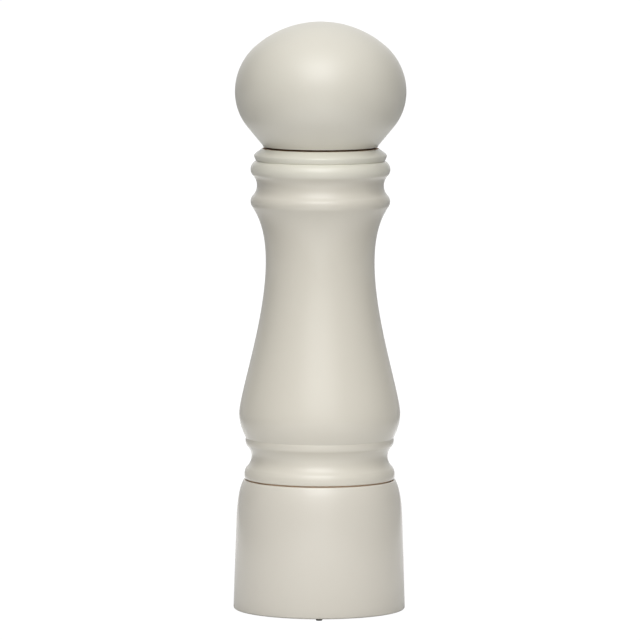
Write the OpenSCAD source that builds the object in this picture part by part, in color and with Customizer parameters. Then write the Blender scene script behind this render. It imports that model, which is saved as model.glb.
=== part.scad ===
// Top-turn mill for salt or pepper: a turned wooden head, body and base round a ceramic grinder.
// The head turns the shaft and the rotor. The base turns on the body and lifts the stator on three ramps,
// which sets the grind. Millimetres, +Z up, origin on the table under the axis.

/* [Head] */
// Radius of the ball at its widest line
head_r = 29.35; // [27:0.05:33]
// Height of the dome above the widest line
dome_h = 24; // [22:0.5:30]
// Radius of the dome's shoulder arc
dome_shoulder_r = 20.5; // [15:0.5:21]
// Height of the widest line above the seat
head_under_h = 18.75; // [16:0.25:22]
// Radius of the arc under the widest line
head_under_r = 19; // [16:0.5:22]
// Angle that the under arc turns before it runs straight to the seat
head_under_angle = 39.6; // [34:0.2:42]
// Length of the tenon that centres the head in the body's mouth
tenon_l = 10; // [6:0.5:16]

/* [Body] */
// Radius of the foot bead
foot_bead_r = 25.75; // [25.5:0.05:28]
// Height of the foot bead
foot_bead_h = 3.6; // [3:0.1:5]
// Radius at the bottom of the low cove
low_cove_r = 23.3; // [22.5:0.1:24.6]
// Height of the low cove
low_cove_h = 7.9; // [6:0.1:10]
// Radius of the ankle bead
ankle_bead_r = 25.5; // [25.2:0.05:27]
// Height of the ankle bead
ankle_bead_h = 2.5; // [2.3:0.1:4]
// Radius of the belly at its fullest
belly_r = 27.6; // [26.6:0.1:32]
// Height of the belly's rise from the ankle bead to its fullest
belly_rise = 8.2; // [6:0.1:12]
// Radius of the neck at its slimmest
neck_r = 18.6; // [17:0.1:20]
// Height from the fullest of the belly to the slimmest of the neck
belly_to_neck = 52.2; // [40:0.1:80]
// Height from the slimmest of the neck to the neck bead
neck_to_bead = 19.2; // [15:0.05:25]
// Radius of the neck bead
neck_bead_r = 23.9; // [23.2:0.05:26]
// Height of the neck bead
neck_bead_h = 3.45; // [2.8:0.05:5]
// Radius at the bottom of the top cove
top_cove_r = 21.75; // [20.5:0.05:22.6]
// Height of the top cove
top_cove_h = 7.55; // [6:0.05:10]
// Radius of the shoulder bead's lower edge
shoulder_edge_r = 23.3; // [23:0.05:25]
// Height of the shoulder bead
shoulder_bead_h = 4.75; // [4:0.05:6]
// Radius of the quirk between the shoulder bead and the collar
quirk_r = 22; // [21.5:0.05:22.4]
// Height of the collar
collar_h = 4.25; // [3.6:0.05:6]
// Height of the collar's rounded side
collar_side_h = 2.75; // [2.2:0.05:3.2]
// Radius of the hopper's bore
hopper_r = 12.5; // [11.9:0.1:13]

/* [Base] */
// Radius of the base at its rim
rim_r = 29.5; // [29.3:0.1:33]
// Rounding of the rim's outer edge
rim_edge = 0.6; // [0.2:0.1:0.8]
// Height of the base from its rim to the seam
base_h = 44.5; // [42:0.05:56]
// Height of the straight taper
taper_h = 30; // [24:0.5:34]
// Radius at the top of the straight taper
taper_r = 28.4; // [27.8:0.1:29]
// Radius of the base's top edge
base_top_r = 26; // [25.6:0.1:26.6]
// Thickness of the ledge that the base turns on
ledge_t = 5.5; // [4:0.5:8]
// Depth of the recess in the underside, from the rim to the cam ring's seat
recess_d = 6.8; // [6.4:0.1:7.4]

/* [Feet] */
// How far the feet hold the rim off the table
foot_stand = 0.6; // [0.3:0.1:1.2]
// Radius of a foot's head
foot_r = 1.1; // [0.9:0.05:1.15]
// Radius of a foot's stem
foot_stem_r = 0.75; // [0.5:0.05:0.8]
// Depth of a foot's stem in the rim
foot_stem_l = 4; // [3:0.5:8]

/* [Housing] */
// Radius of the body's spigot, which the base turns on
spigot_r = 20.4; // [20:0.1:20.6]
// Overlap of the housing's flange under the ledge
flange_overlap = 2; // [1.5:0.1:2.1]
// Thickness of the housing's flange
flange_t = 3; // [2:0.5:5]
// Inner radius of the housing's sleeve
sleeve_r = 15.3; // [15.1:0.05:15.5]
// Wall of the sleeve
sleeve_wall = 1.5; // [1:0.1:1.6]
// Depth of the housing screws in the body
housing_screw_depth = 6; // [4:0.5:9]

/* [Grinder] */
// Height of the rotor screw's head above the rim
outlet_h = 5.6; // [5:0.1:7]
// Radius of the rotor at its foot
rotor_r = 10.2; // [9.6:0.1:10.6]
// Radius of the rotor at the top of its fine teeth
rotor_waist_r = 8.7; // [8.2:0.1:9.2]
// Radius of the rotor at its top
rotor_top_r = 5.8; // [5.4:0.1:6.6]
// Height of the rotor
rotor_h = 16; // [13:0.5:18]
// Height of the rotor's fine teeth
fine_h = 4; // [3:0.5:5]
// Depth of the fine teeth
fine_depth = 0.5; // [0.3:0.05:0.7]
// Depth of the rotor's breaking grooves at their deepest
break_depth = 1.2; // [0.6:0.1:1.4]
// Radial gap between rotor and stator at the finest grind
grind_gap = 0.35; // [0.3:0.05:0.6]
// Outer radius of the stator
stator_r = 13; // [12.7:0.1:13.2]
// Radius of the stator's throat at its top
throat_r = 10.9; // [10.2:0.1:11.1]
// Height of the stator
stator_h = 11; // [9:0.5:12]
// Height of the stator's foot above the rotor's foot
stator_lift = 1.6; // [1.2:0.1:2.4]

/* [Selector] */
// Turn of the base from the finest to the coarsest grind
select_turn = 100; // [80:1:100]
// Rise of the stator over that turn
select_rise = 1.8; // [1:0.1:2.2]
// Number of click stops
clicks = 6; // [4:1:8]
// Depth of a click notch in a ramp
notch_d = 0.15; // [0.1:0.01:0.2]
// Width of a carrier lug
lug_w = 5; // [4:0.1:5]
// Height of a carrier lug above the middle of its round nose
lug_side_h = 2.6; // [2.5:0.1:4]
// Height of a lug's nose above the stator's foot
lug_rise = 3.5; // [3:0.1:5]
// Thickness of the cam ring's flange
cam_flange_t = 2.4; // [1.8:0.1:2.8]

/* [Drive] */
// Width of the square shaft across its flats
shaft_w = 6; // [5.6:0.1:6.4]
// Radius of the shaft over its turned corners
shaft_r = 3.6; // [3.5:0.05:3.7]
// Length of shaft in the head's socket, above the tenon's end
shaft_reach = 18; // [12:0.5:22]
// Outer radius of the shaft's bush
bush_r = 4.9; // [4.7:0.1:5.2]
// Height of the feed guide's hub
hub_h = 6.5; // [5:0.5:7]
// Height of the feed guide's ring in the body
guide_ring_h = 8; // [7.5:0.5:12]
// Width of the feed guide's arms
arm_w = 2.4; // [1.6:0.1:3]
// Outer radius of the head's socket
socket_r = 6.5; // [6:0.1:7]
// Radius of the socket's flange
socket_flange_r = 11.4; // [11:0.1:11.6]
// Radius of the spring's wire
wire_r = 0.55; // [0.4:0.05:0.6]
// Turns of the spring
spring_turns = 4.5; // [3.5:0.5:5.5]

/* [Washers and clips] */
// Thickness of the slip washers in the two seams
slip_t = 0.9; // [0.7:0.05:1.5]
// Thickness of the small steel washers and clips
small_t = 0.7; // [0.5:0.05:0.8]

/* [Clearances] */
// Gap that shows at the two running seams
seam_gap = 0.55; // [0.4:0.05:0.8]
// Axial gap at a washer that slips
slip_gap = 0.08; // [0.05:0.01:0.15]
// Radial gap between wooden pieces that turn on each other
turn_gap = 0.3; // [0.2:0.05:0.5]
// Radial gap of a shaft in its bush, and of a piece set in another
fit_gap = 0.05; // [0.03:0.01:0.08]
// Radial gap of the carrier in its sleeve
slide_gap = 0.1; // [0.05:0.01:0.15]
// Gap between a lug's nose and its ramp
ramp_gap = 0.1; // [0.08:0.01:0.2]

/* [Hidden] */
$fn = 96;

// Colours
LACQUER = [0.86, 0.84, 0.78];
STEEL = [0.72, 0.73, 0.74];
CERAMIC = [0.93, 0.92, 0.88];
NYLON = [0.16, 0.16, 0.17];
FIBRE = [0.62, 0.47, 0.33];
BRONZE = [0.78, 0.62, 0.32];
RUBBER = [0.08, 0.08, 0.08];

// Angles of the pieces that come in threes
third = 120;
lug_angles = [90, 210, 330];
screw_angles = [30, 150, 270];

// How far the handles of the turned curves reach, as shares of each curve's height
base_handle = 0.54;
base_handle_in = 0.27;
belly_low_handle = 0.3;
belly_high_handle = 0.36;
flank_low_handle = 0.134;
flank_high_handle = 0.38;
throat_low_handle = 0.51;
throat_high_handle = 0.21;
throat_handle_in = 0.137;

// Small shapes that several pieces share
bead_sag = 0.6;
foot_edge_in = 0.2;
foot_sag = 0.42;
ankle_sag = 0.35;
shoulder_sag = 0.245;
base_lip_in = 1.55;
base_lip_h = 2.8;
belly_lip_in = 1.1;
collar_flare = 0.4;
collar_sag = 0.4;
edge_chamfer = 0.5;
pilot_spare = 0.5;

// Screws: the point, the head's rounding and its cross, as shares of radius and height
screw_tip = 0.3;
screw_edge = 0.35;
cross_l = 1.15;
cross_w = 0.3;
cross_depth = 0.5;

// Cutters and the steps of curves
cut_past = 1;
arc_steps = 8;
curve_steps = 14;
rim_steps = 4;
key_sides = 32;
nose_sides = 48;
same_point = 0.001;

// Heights of the base
rim_z = foot_stand;
base_top_z = rim_z + base_h;
ledge_z = base_top_z - ledge_t;
cam_seat_z = rim_z + recess_d;

// Heights of the body, from its foot bead up
body_z = base_top_z + seam_gap;
low_cove_z = body_z + foot_bead_h;
ankle_z = low_cove_z + low_cove_h;
notch_z = ankle_z + ankle_bead_h;
belly_z = notch_z + belly_rise;
neck_z = belly_z + belly_to_neck;
neck_bead_z = neck_z + neck_to_bead;
top_cove_z = neck_bead_z + neck_bead_h;
shoulder_z = top_cove_z + top_cove_h;
quirk_z = shoulder_z + shoulder_bead_h;
body_top_z = quirk_z + collar_h;

// Heights and radii of the head
head_z = body_top_z + seam_gap;
equator_z = head_z + head_under_h;
head_top_z = equator_z + dome_h;
tenon_z = head_z - tenon_l;
tenon_r = hopper_r - turn_gap;
under_drop = head_under_r * sin(head_under_angle);
under_inset = head_under_r * (1 - cos(head_under_angle));
head_seat_r = head_r - under_inset - (head_under_h - under_drop) * tan(head_under_angle);
dome_offset = head_r - dome_shoulder_r;
dome_crown_r = (dome_offset * dome_offset + dome_h * dome_h - dome_shoulder_r * dome_shoulder_r)
    / (2 * (dome_h - dome_shoulder_r));
crown_z = head_top_z - dome_crown_r;
crown_angle = atan2(equator_z - crown_z, dome_offset);
collar_reach = 0.45;
collar_top_r = head_seat_r + collar_reach;

// Slip washers, each in a recess that leaves slip_gap above it
slip_recess = slip_t - seam_gap + slip_gap;
washer_inset = 1;
head_washer_w = 3;
head_washer_r = head_seat_r - washer_inset;
base_washer_r = base_top_r - washer_inset;

// Housing, which hangs under the body and holds the base on
ledge_r = spigot_r + turn_gap;
flange_r = ledge_r + flange_overlap - turn_gap;
cavity_r = flange_r + turn_gap;
flange_top_z = ledge_z - turn_gap;
flange_z = flange_top_z - flange_t;
sleeve_out_r = sleeve_r + sleeve_wall;
housing_screw_r = 1.1;
housing_head_r = 1.65;
housing_head_h = 1.4;
screw_room = 0.1;
housing_screw_pitch_r = sleeve_out_r + housing_head_r + screw_room;

// Rotor and its fixings, from the outlet up
rotor_head_h = 2;
rotor_head_r = 3.2;
rotor_screw_r = 1.5;
rotor_floor = 3.2;
rotor_screw_z = rim_z + outlet_h;
rotor_washer_z = rotor_screw_z + rotor_head_h;
rotor_washer_reach = 1.8;
rotor_washer_r = rotor_head_r + rotor_washer_reach;
rotor_z = rotor_washer_z + small_t;
shaft_z = rotor_z + rotor_floor;
tap_depth = 9;
tap_spare = 1;

// Stator and its carrier
stator_z = rotor_z + stator_lift;
stator_top_z = stator_z + stator_h;
carrier_in_r = stator_r + fit_gap;
carrier_r = sleeve_r - slide_gap;
lip_t = 2;
lip_step = 0.75;
lip_r = throat_r + lip_step;
carrier_top_z = stator_top_z + fit_gap + lip_t;
clip_bed = 0.35;
carrier_z = stator_z - 2 * fit_gap - small_t - clip_bed;
clip_groove = 0.8;
clip_reach = 1;
stator_clip_mouth = 60;
key_r = 0.8;

// Lugs, ramps and cam ring
lug_z = stator_z + lug_rise;
nose_r = lug_w / 2;
lug_h = nose_r + lug_side_h;
lug_room = 1.2;
lug_end_r = cavity_r - lug_room;
slot_gap = 0.15;
slot_top_z = lug_z + lug_h + select_rise + ramp_gap;
cam_in_r = sleeve_out_r + turn_gap + slide_gap;
cam_out_r = cavity_r - slide_gap;
ramp_z = lug_z - ramp_gap;
ramp_margin = (third - select_turn) / 2;
ramp_pitch = select_rise / select_turn;
cam_top_z = ramp_z + ramp_pitch * (select_turn + ramp_margin) + ramp_gap;
cam_screw_r = 0.9;
cam_head_r = 1.7;
cam_screw_pitch_r = cavity_r + cam_head_r + fit_gap;
cam_screw_depth = 6;
recess_r = cam_screw_pitch_r + cam_head_r + screw_room;
cam_flange_r = recess_r - slide_gap;
cam_flange_z = cam_seat_z - cam_flange_t;
foot_margin = 0.2;
foot_pitch_r = recess_r + foot_r + foot_margin;

// Feed guide, bush and shaft
guide_step = 0.6;
guide_r = hopper_r + guide_step;
guide_wall = 1.5;
guide_top_z = flange_top_z + guide_ring_h;
funnel_room = 0.6;
funnel_z = stator_top_z + select_rise + funnel_room;
funnel_r = lip_r - turn_gap - slide_gap;
funnel_wall = 1.1;
funnel_cone = 2;
hub_wall = 1.4;
hub_r = bush_r + fit_gap + hub_wall;
hub_rise = 2;
hub_z = flange_top_z + hub_rise;
hub_top_z = hub_z + hub_h;
arm_inset = 1;
bush_flange_t = 1;
bush_top_z = hub_top_z + bush_flange_t;
shaft_top_z = tenon_z + shaft_reach;
groove_d = 0.2;
groove_r = shaft_w / 2 - groove_d;
clip_inset = 0.9;
clip_out_r = hub_r - fit_gap - clip_inset;
clip_mouth = 90;
upper_washer_z = bush_top_z + slip_gap;
lower_washer_z = hub_z - slip_gap - small_t;
upper_clip_z = upper_washer_z + small_t + slip_gap;
lower_clip_z = lower_washer_z - slip_gap - small_t;
clip_z_list = [lower_clip_z, upper_clip_z];
washer_z_list = [lower_washer_z, upper_washer_z];

// Socket in the head
socket_flange_t = 2;
socket_z = tenon_z - socket_flange_t;
socket_roof = 1.7;
socket_end_room = 0.8;
socket_bore_top_z = shaft_top_z + socket_end_room;
socket_top_z = socket_bore_top_z + socket_roof;
socket_screw_r = 0.9;
socket_head_r = 1.6;
socket_screw_l = 8;
socket_screw_pitch_r = (socket_r + socket_flange_r) / 2;
grip_drop = 3.5;
grip_z = shaft_top_z - grip_drop;
grip_t = 1;
grip_wall = 1;
grip_r = shaft_r + fit_gap;
grip_out_r = grip_r + grip_wall;
grip_mouth = 40;
neck_cut = 0.25;
neck_room = 0.5;
nose_chamfer = 1;

// Spring between the carrier and the housing's flange
spring_r = (carrier_r + lip_r) / 2;
spring_low_z = carrier_top_z + wire_r;
spring_high_z = flange_z - wire_r;
spring_close_gap = 0.6;
spring_end_pitch = 2 * wire_r + spring_close_gap;
spring_rings = 8;
spring_sides = 6;

// Points along an arc round c, from angle a0 to a1
function arc(c, r, a0, a1, n = arc_steps) =
    [for (i = [0:n]) let (a = a0 + (a1 - a0) * i / n) [c[0] + r * cos(a), c[1] + r * sin(a)]];

// Points on the arc from p to q that bows sag to the right of the way it runs, or left if sag is negative
function bow(p, q, sag, n = arc_steps) =
    let (
        d = q - p,
        l = norm(d),
        side = [d[1], -d[0]] / l,
        r = (l * l / 4 + sag * sag) / (2 * sag),
        c = (p + q) / 2 + side * (sag - r),
        half = 2 * atan2(2 * sag, l),
        mid = atan2(side[1], side[0]) + (sag < 0 ? 180 : 0),
        turn = sag < 0 ? -half : half
    )
    [for (i = [0:n]) let (a = mid + turn * (2 * i / n - 1) * sign(sag)) c + abs(r) * [cos(a), sin(a)]];

// Points on a cubic curve from p to q that leaves towards a and arrives from b
function curve(p, a, b, q, n = curve_steps) =
    [for (i = [0:n]) let (t = i / n, s = 1 - t)
        s * s * s * p + 3 * s * s * t * a + 3 * s * t * t * b + t * t * t * q];

// Rings of n points each, joined into one closed solid
function ring_faces(rings, n) = concat(
    [for (i = [0:rings - 2], j = [0:n - 1]) let (k = (j + 1) % n)
        [i * n + j, (i + 1) * n + j, (i + 1) * n + k]],
    [for (i = [0:rings - 2], j = [0:n - 1]) let (k = (j + 1) % n)
        [i * n + j, (i + 1) * n + k, i * n + k]],
    [[for (j = [0:n - 1]) j]],
    [[for (j = [n - 1:-1:0]) (rings - 1) * n + j]]
);

// Outline of the lacquered side of the base, from the rim to the top edge
function base_side() = concat(
    arc([rim_r - rim_edge, rim_z + rim_edge], rim_edge, -90, 0, rim_steps),
    curve(
        [taper_r, rim_z + taper_h],
        [taper_r - (rim_r - taper_r) * base_handle_in, rim_z + taper_h + (base_h - taper_h) * base_handle],
        [base_top_r + base_lip_in, base_top_z - base_lip_h],
        [base_top_r, base_top_z]
    )
);

// Outline of the lacquered side of the body, from the foot bead to the collar
function body_side() = concat(
    bow([foot_bead_r - foot_edge_in, body_z], [foot_bead_r - bead_sag, low_cove_z], foot_sag),
    bow([foot_bead_r - bead_sag, low_cove_z], [ankle_bead_r - ankle_sag, ankle_z],
        low_cove_r - (foot_bead_r - bead_sag + ankle_bead_r - ankle_sag) / 2),
    bow([ankle_bead_r - ankle_sag, ankle_z], [ankle_bead_r - ankle_sag, notch_z], ankle_sag),
    curve(
        [ankle_bead_r - ankle_sag, notch_z],
        [belly_r - belly_lip_in, notch_z + belly_rise * belly_low_handle],
        [belly_r, belly_z - belly_rise * belly_high_handle],
        [belly_r, belly_z]
    ),
    curve(
        [belly_r, belly_z],
        [belly_r, belly_z + belly_to_neck * flank_low_handle],
        [neck_r, neck_z - belly_to_neck * flank_high_handle],
        [neck_r, neck_z]
    ),
    curve(
        [neck_r, neck_z],
        [neck_r, neck_z + neck_to_bead * throat_low_handle],
        [neck_bead_r - bead_sag - neck_to_bead * throat_handle_in,
            neck_bead_z - neck_to_bead * throat_high_handle],
        [neck_bead_r - bead_sag, neck_bead_z]
    ),
    bow([neck_bead_r - bead_sag, neck_bead_z], [neck_bead_r - bead_sag, top_cove_z], bead_sag),
    bow([neck_bead_r - bead_sag, top_cove_z], [shoulder_edge_r, shoulder_z],
        top_cove_r - (neck_bead_r - bead_sag + shoulder_edge_r) / 2),
    bow([shoulder_edge_r, shoulder_z], [quirk_r, quirk_z], shoulder_bead_h * shoulder_sag),
    bow([quirk_r, quirk_z], [quirk_r + collar_flare, quirk_z + collar_side_h], collar_sag),
    [[collar_top_r, body_top_z]]
);

// Outline of the ball, from the seat to the crown
function head_side() = concat(
    [[head_seat_r, head_z]],
    arc([head_r - head_under_r, equator_z], head_under_r, -head_under_angle, 0, curve_steps),
    arc([head_r - dome_shoulder_r, equator_z], dome_shoulder_r, 0, crown_angle, curve_steps),
    arc([0, crown_z], dome_crown_r, crown_angle, 90, curve_steps)
);

// Drops the points of a list that repeat the one before
function distinct(p) =
    [for (i = [0:len(p) - 1])
        if (i == 0 || norm(p[i] - p[max(i - 1, 0)]) > same_point) p[i]];

// A solid turned from an outline
module turned(points) {
    rotate_extrude()
        polygon(distinct(points));
}

// A plain ring between two radii and two heights
module ring(r_in, r_out, z0, z1) {
    turned([[r_in, z0], [r_out, z0], [r_out, z1], [r_in, z1]]);
}

// Copies of a piece, one at each angle, out on a circle
module placed(angles, r) {
    for (a = angles)
        rotate([0, 0, a])
            translate([r, 0, 0])
                children();
}

// The square of the shaft with its corners turned off, wider by gap all round
module shaft_section(gap) {
    intersection() {
        square(shaft_w + 2 * gap, center = true);
        circle(shaft_r + gap);
    }
}

// The cross cut into a screw's head at z, to a depth
module cross_recess(z, cap_r, depth) {
    for (a = [0, 90])
        rotate([0, 0, a])
            translate([0, 0, z])
                cube([cap_r * cross_l, cap_r * cross_w, 2 * depth], center = true);
}

// A round-headed screw that stands on z, head below and shank above
module round_screw(z, cap_r, cap_h, r, l) {
    edge = cap_h * screw_edge;
    seat_z = z + cap_h;
    difference() {
        turned([[0, z], [cap_r - edge, z], [cap_r, z + edge], [cap_r, seat_z], [r, seat_z],
            [r, seat_z + l - r], [r * screw_tip, seat_z + l], [0, seat_z + l]]);
        cross_recess(z, cap_r, cap_h * cross_depth);
    }
}

// A flush-headed screw whose head lies level with z
module flush_screw(z, cap_r, r, l) {
    cone_h = cap_r - r;
    difference() {
        turned([[0, z], [cap_r, z], [r, z + cone_h], [r, z + l - r], [r * screw_tip, z + l], [0, z + l]]);
        cross_recess(z, cap_r, cone_h * cross_depth);
    }
}

// The hole that a flush-headed screw sits in
module flush_hole(z, cap_r, r, l) {
    cone_h = cap_r - r;
    bore_r = r + fit_gap;
    mouth_r = cap_r + fit_gap;
    turned([[0, z - cut_past], [mouth_r, z - cut_past], [mouth_r, z], [bore_r, z + cone_h],
        [bore_r, z + l], [0, z + l]]);
}

// An open spring clip
module open_clip(r_in, r_out, z, t, mouth) {
    rotate([0, 0, mouth / 2])
        rotate_extrude(angle = 360 - mouth)
            translate([r_in, z])
                square([r_out - r_in, t]);
}

// Head group

module head() {
    color(LACQUER)
        difference() {
            turned(concat(
                head_side(),
                [[0, socket_top_z + fit_gap],
                [socket_r + fit_gap, socket_top_z + fit_gap],
                [socket_r + fit_gap, tenon_z],
                [tenon_r - edge_chamfer, tenon_z],
                [tenon_r, tenon_z + edge_chamfer],
                [tenon_r, head_z]]
            ));
            placed(lug_angles, socket_screw_pitch_r)
                translate([0, 0, socket_z])
                    cylinder(r = socket_screw_r + fit_gap, h = socket_screw_l + pilot_spare);
        }
}

module drive_socket() {
    color(NYLON)
        difference() {
            turned([[0, socket_z], [socket_flange_r, socket_z], [socket_flange_r, tenon_z],
                [socket_r, tenon_z], [socket_r, socket_top_z], [0, socket_top_z]]);
            translate([0, 0, socket_z - cut_past])
                linear_extrude(socket_bore_top_z - socket_z + cut_past)
                    shaft_section(fit_gap);
            translate([0, 0, grip_z - fit_gap])
                cylinder(r = grip_out_r + fit_gap, h = grip_t + 2 * fit_gap);
            placed(lug_angles, socket_screw_pitch_r)
                flush_hole(socket_z, socket_head_r, socket_screw_r, socket_flange_t + cut_past);
        }
}

module socket_screws() {
    color(STEEL)
        placed(lug_angles, socket_screw_pitch_r)
            flush_screw(socket_z, socket_head_r, socket_screw_r, socket_screw_l);
}

module grip_ring() {
    color(STEEL)
        open_clip(grip_r, grip_out_r, grip_z, grip_t, grip_mouth);
}

module head_slip_washer() {
    z = body_top_z - slip_recess;
    color(FIBRE)
        ring(head_washer_r - head_washer_w, head_washer_r, z, z + slip_t);
}

// Body group

module body() {
    washer_bed_z = body_top_z - slip_recess;
    guide_bed_r = guide_r + fit_gap;
    guide_roof_z = guide_top_z + fit_gap;
    color(LACQUER)
        difference() {
            turned(concat(
                [[spigot_r - edge_chamfer, flange_top_z],
                [spigot_r, flange_top_z + edge_chamfer],
                [spigot_r, body_z]],
                body_side(),
                [[head_washer_r + fit_gap, body_top_z],
                [head_washer_r + fit_gap, washer_bed_z],
                [hopper_r + edge_chamfer, washer_bed_z],
                [hopper_r, washer_bed_z - edge_chamfer],
                [hopper_r, guide_roof_z],
                [guide_bed_r, guide_roof_z],
                [guide_bed_r, flange_top_z]]
            ));
            placed(screw_angles, housing_screw_pitch_r)
                translate([0, 0, flange_top_z - cut_past])
                    cylinder(r = housing_screw_r + fit_gap, h = cut_past + housing_screw_depth + pilot_spare);
        }
}

module feed_guide() {
    funnel_in_r = funnel_r - funnel_wall;
    arm_start_r = hub_r - hub_wall / 2;
    arm_end_r = guide_r - guide_wall / 2;
    color(NYLON)
        union() {
            turned([[funnel_r, funnel_z], [funnel_r, flange_top_z], [guide_r, flange_top_z],
                [guide_r, guide_top_z], [guide_r - guide_wall, guide_top_z],
                [funnel_in_r, flange_top_z - funnel_cone], [funnel_in_r, funnel_z]]);
            ring(bush_r + fit_gap, hub_r, hub_z, hub_top_z);
            placed(screw_angles, arm_start_r)
                translate([0, -arm_w / 2, hub_z + arm_inset])
                    cube([arm_end_r - arm_start_r, arm_w, hub_h - 2 * arm_inset]);
        }
}

module shaft_bush() {
    color(BRONZE)
        turned([[shaft_r + fit_gap, hub_z], [bush_r, hub_z], [bush_r, hub_top_z], [hub_r, hub_top_z],
            [hub_r, bush_top_z], [shaft_r + fit_gap, bush_top_z]]);
}

module grinder_housing() {
    slot_w = lug_w + 2 * slot_gap;
    color(NYLON)
        difference() {
            turned([[sleeve_r, carrier_z], [sleeve_out_r, carrier_z], [sleeve_out_r, flange_z],
                [flange_r, flange_z], [flange_r, flange_top_z], [funnel_r + fit_gap, flange_top_z],
                [funnel_r + fit_gap, flange_z], [sleeve_r, flange_z]]);
            placed(lug_angles, sleeve_r - cut_past)
                translate([0, -slot_w / 2, carrier_z - cut_past])
                    cube([sleeve_wall + 2 * cut_past, slot_w, slot_top_z - carrier_z + cut_past]);
            placed(screw_angles, housing_screw_pitch_r)
                translate([0, 0, flange_z - cut_past])
                    cylinder(r = housing_screw_r + fit_gap, h = flange_t + 2 * cut_past);
        }
}

module housing_screws() {
    color(STEEL)
        placed(screw_angles, housing_screw_pitch_r)
            round_screw(flange_z - housing_head_h, housing_head_r, housing_head_h, housing_screw_r,
                flange_t + housing_screw_depth);
}

// Height of the spring's wire after a number of turns: close at both ends, open between
function spring_z(turn) =
    let (
        open_pitch = (spring_high_z - spring_low_z - 2 * spring_end_pitch) / (spring_turns - 2),
        low = min(turn, 1),
        middle = min(max(turn - 1, 0), spring_turns - 2),
        high = max(turn - spring_turns + 1, 0)
    )
    spring_low_z + (low + high) * spring_end_pitch + middle * open_pitch;

spring_steps = spring_turns * spring_rings;
spring_path = [for (i = [0:spring_steps]) let (turn = i / spring_rings)
    [spring_r * cos(360 * turn), spring_r * sin(360 * turn), spring_z(turn)]];
spring_least = min([for (i = [0:spring_steps], j = [i + spring_rings - 2:spring_steps])
    if (j <= spring_steps && j > i) norm(spring_path[i] - spring_path[j])]) - 2 * wire_r;
echo(str("least gap of the spring's wire to itself: ", spring_least, " mm"));

module carrier_spring() {
    points = [for (i = [0:spring_steps], k = [0:spring_sides - 1])
        let (a = 360 * i / spring_rings, b = -360 * k / spring_sides, r = spring_r + wire_r * cos(b))
        [r * cos(a), r * sin(a), spring_path[i][2] + wire_r * sin(b)]];
    color(STEEL)
        polyhedron(points, ring_faces(spring_steps + 1, spring_sides));
}

// Base group

module base() {
    color(LACQUER)
        difference() {
            turned(concat(
                [[recess_r, rim_z]],
                base_side(),
                [[base_washer_r + fit_gap, base_top_z],
                [base_washer_r + fit_gap, base_top_z - slip_recess],
                [ledge_r, base_top_z - slip_recess],
                [ledge_r, ledge_z],
                [cavity_r, ledge_z],
                [cavity_r, cam_seat_z],
                [recess_r, cam_seat_z]]
            ));
            placed(lug_angles, cam_screw_pitch_r)
                translate([0, 0, cam_seat_z - cut_past])
                    cylinder(r = cam_screw_r + fit_gap, h = cut_past + cam_screw_depth + pilot_spare);
            placed(screw_angles, foot_pitch_r)
                translate([0, 0, rim_z - cut_past])
                    cylinder(r = foot_stem_r + fit_gap, h = cut_past + foot_stem_l + fit_gap);
        }
}

module base_slip_washer() {
    z = base_top_z - slip_recess;
    color(FIBRE)
        ring(ledge_r + turn_gap, base_washer_r, z, z + slip_t);
}

// One ramp's cutter: everything above the ramp, over a third of the ring and a little more
module ramp_cutter() {
    notch_half = 3;
    overlap = 0.25;
    lip = 0.5;
    step = select_turn / (clicks - 1);
    stops = [for (i = [0:clicks - 1]) i * step];
    notches = [for (s = stops, k = [-1, 0, 1]) [s + k * notch_half, k == 0 ? notch_d : 0]];
    samples = concat([[-ramp_margin - overlap, 0]], notches, [[select_turn + ramp_margin + overlap, 0]]);
    section = [[cam_in_r - lip, 0], [cam_out_r + lip, 0], [cam_out_r + lip, 1], [cam_in_r - lip, 1]];
    points = [for (s = samples, q = section)
        let (z = q[1] > 0 ? cam_top_z + lip : ramp_z + ramp_pitch * s[0] - s[1])
        [q[0] * cos(-s[0]), q[0] * sin(-s[0]), z]];
    polyhedron(points, ring_faces(len(samples), len(section)));
}

module cam_ring() {
    color(NYLON)
        difference() {
            turned([[cam_in_r, cam_flange_z], [cam_flange_r, cam_flange_z], [cam_flange_r, cam_seat_z],
                [cam_out_r, cam_seat_z], [cam_out_r, cam_top_z], [cam_in_r, cam_top_z]]);
            for (a = lug_angles)
                rotate([0, 0, a])
                    ramp_cutter();
            placed(lug_angles, cam_screw_pitch_r)
                flush_hole(cam_flange_z, cam_head_r, cam_screw_r, cam_flange_t + cut_past);
        }
}

module cam_screws() {
    color(STEEL)
        placed(lug_angles, cam_screw_pitch_r)
            flush_screw(cam_flange_z, cam_head_r, cam_screw_r, cam_flange_t + cam_screw_depth);
}

module rubber_feet() {
    edge = 0.15;
    color(RUBBER)
        placed(screw_angles, foot_pitch_r)
            turned([[0, 0], [foot_r - edge, 0], [foot_r, edge], [foot_r, rim_z], [foot_stem_r, rim_z],
                [foot_stem_r, rim_z + foot_stem_l], [0, rim_z + foot_stem_l]]);
}

// Drive group

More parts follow.
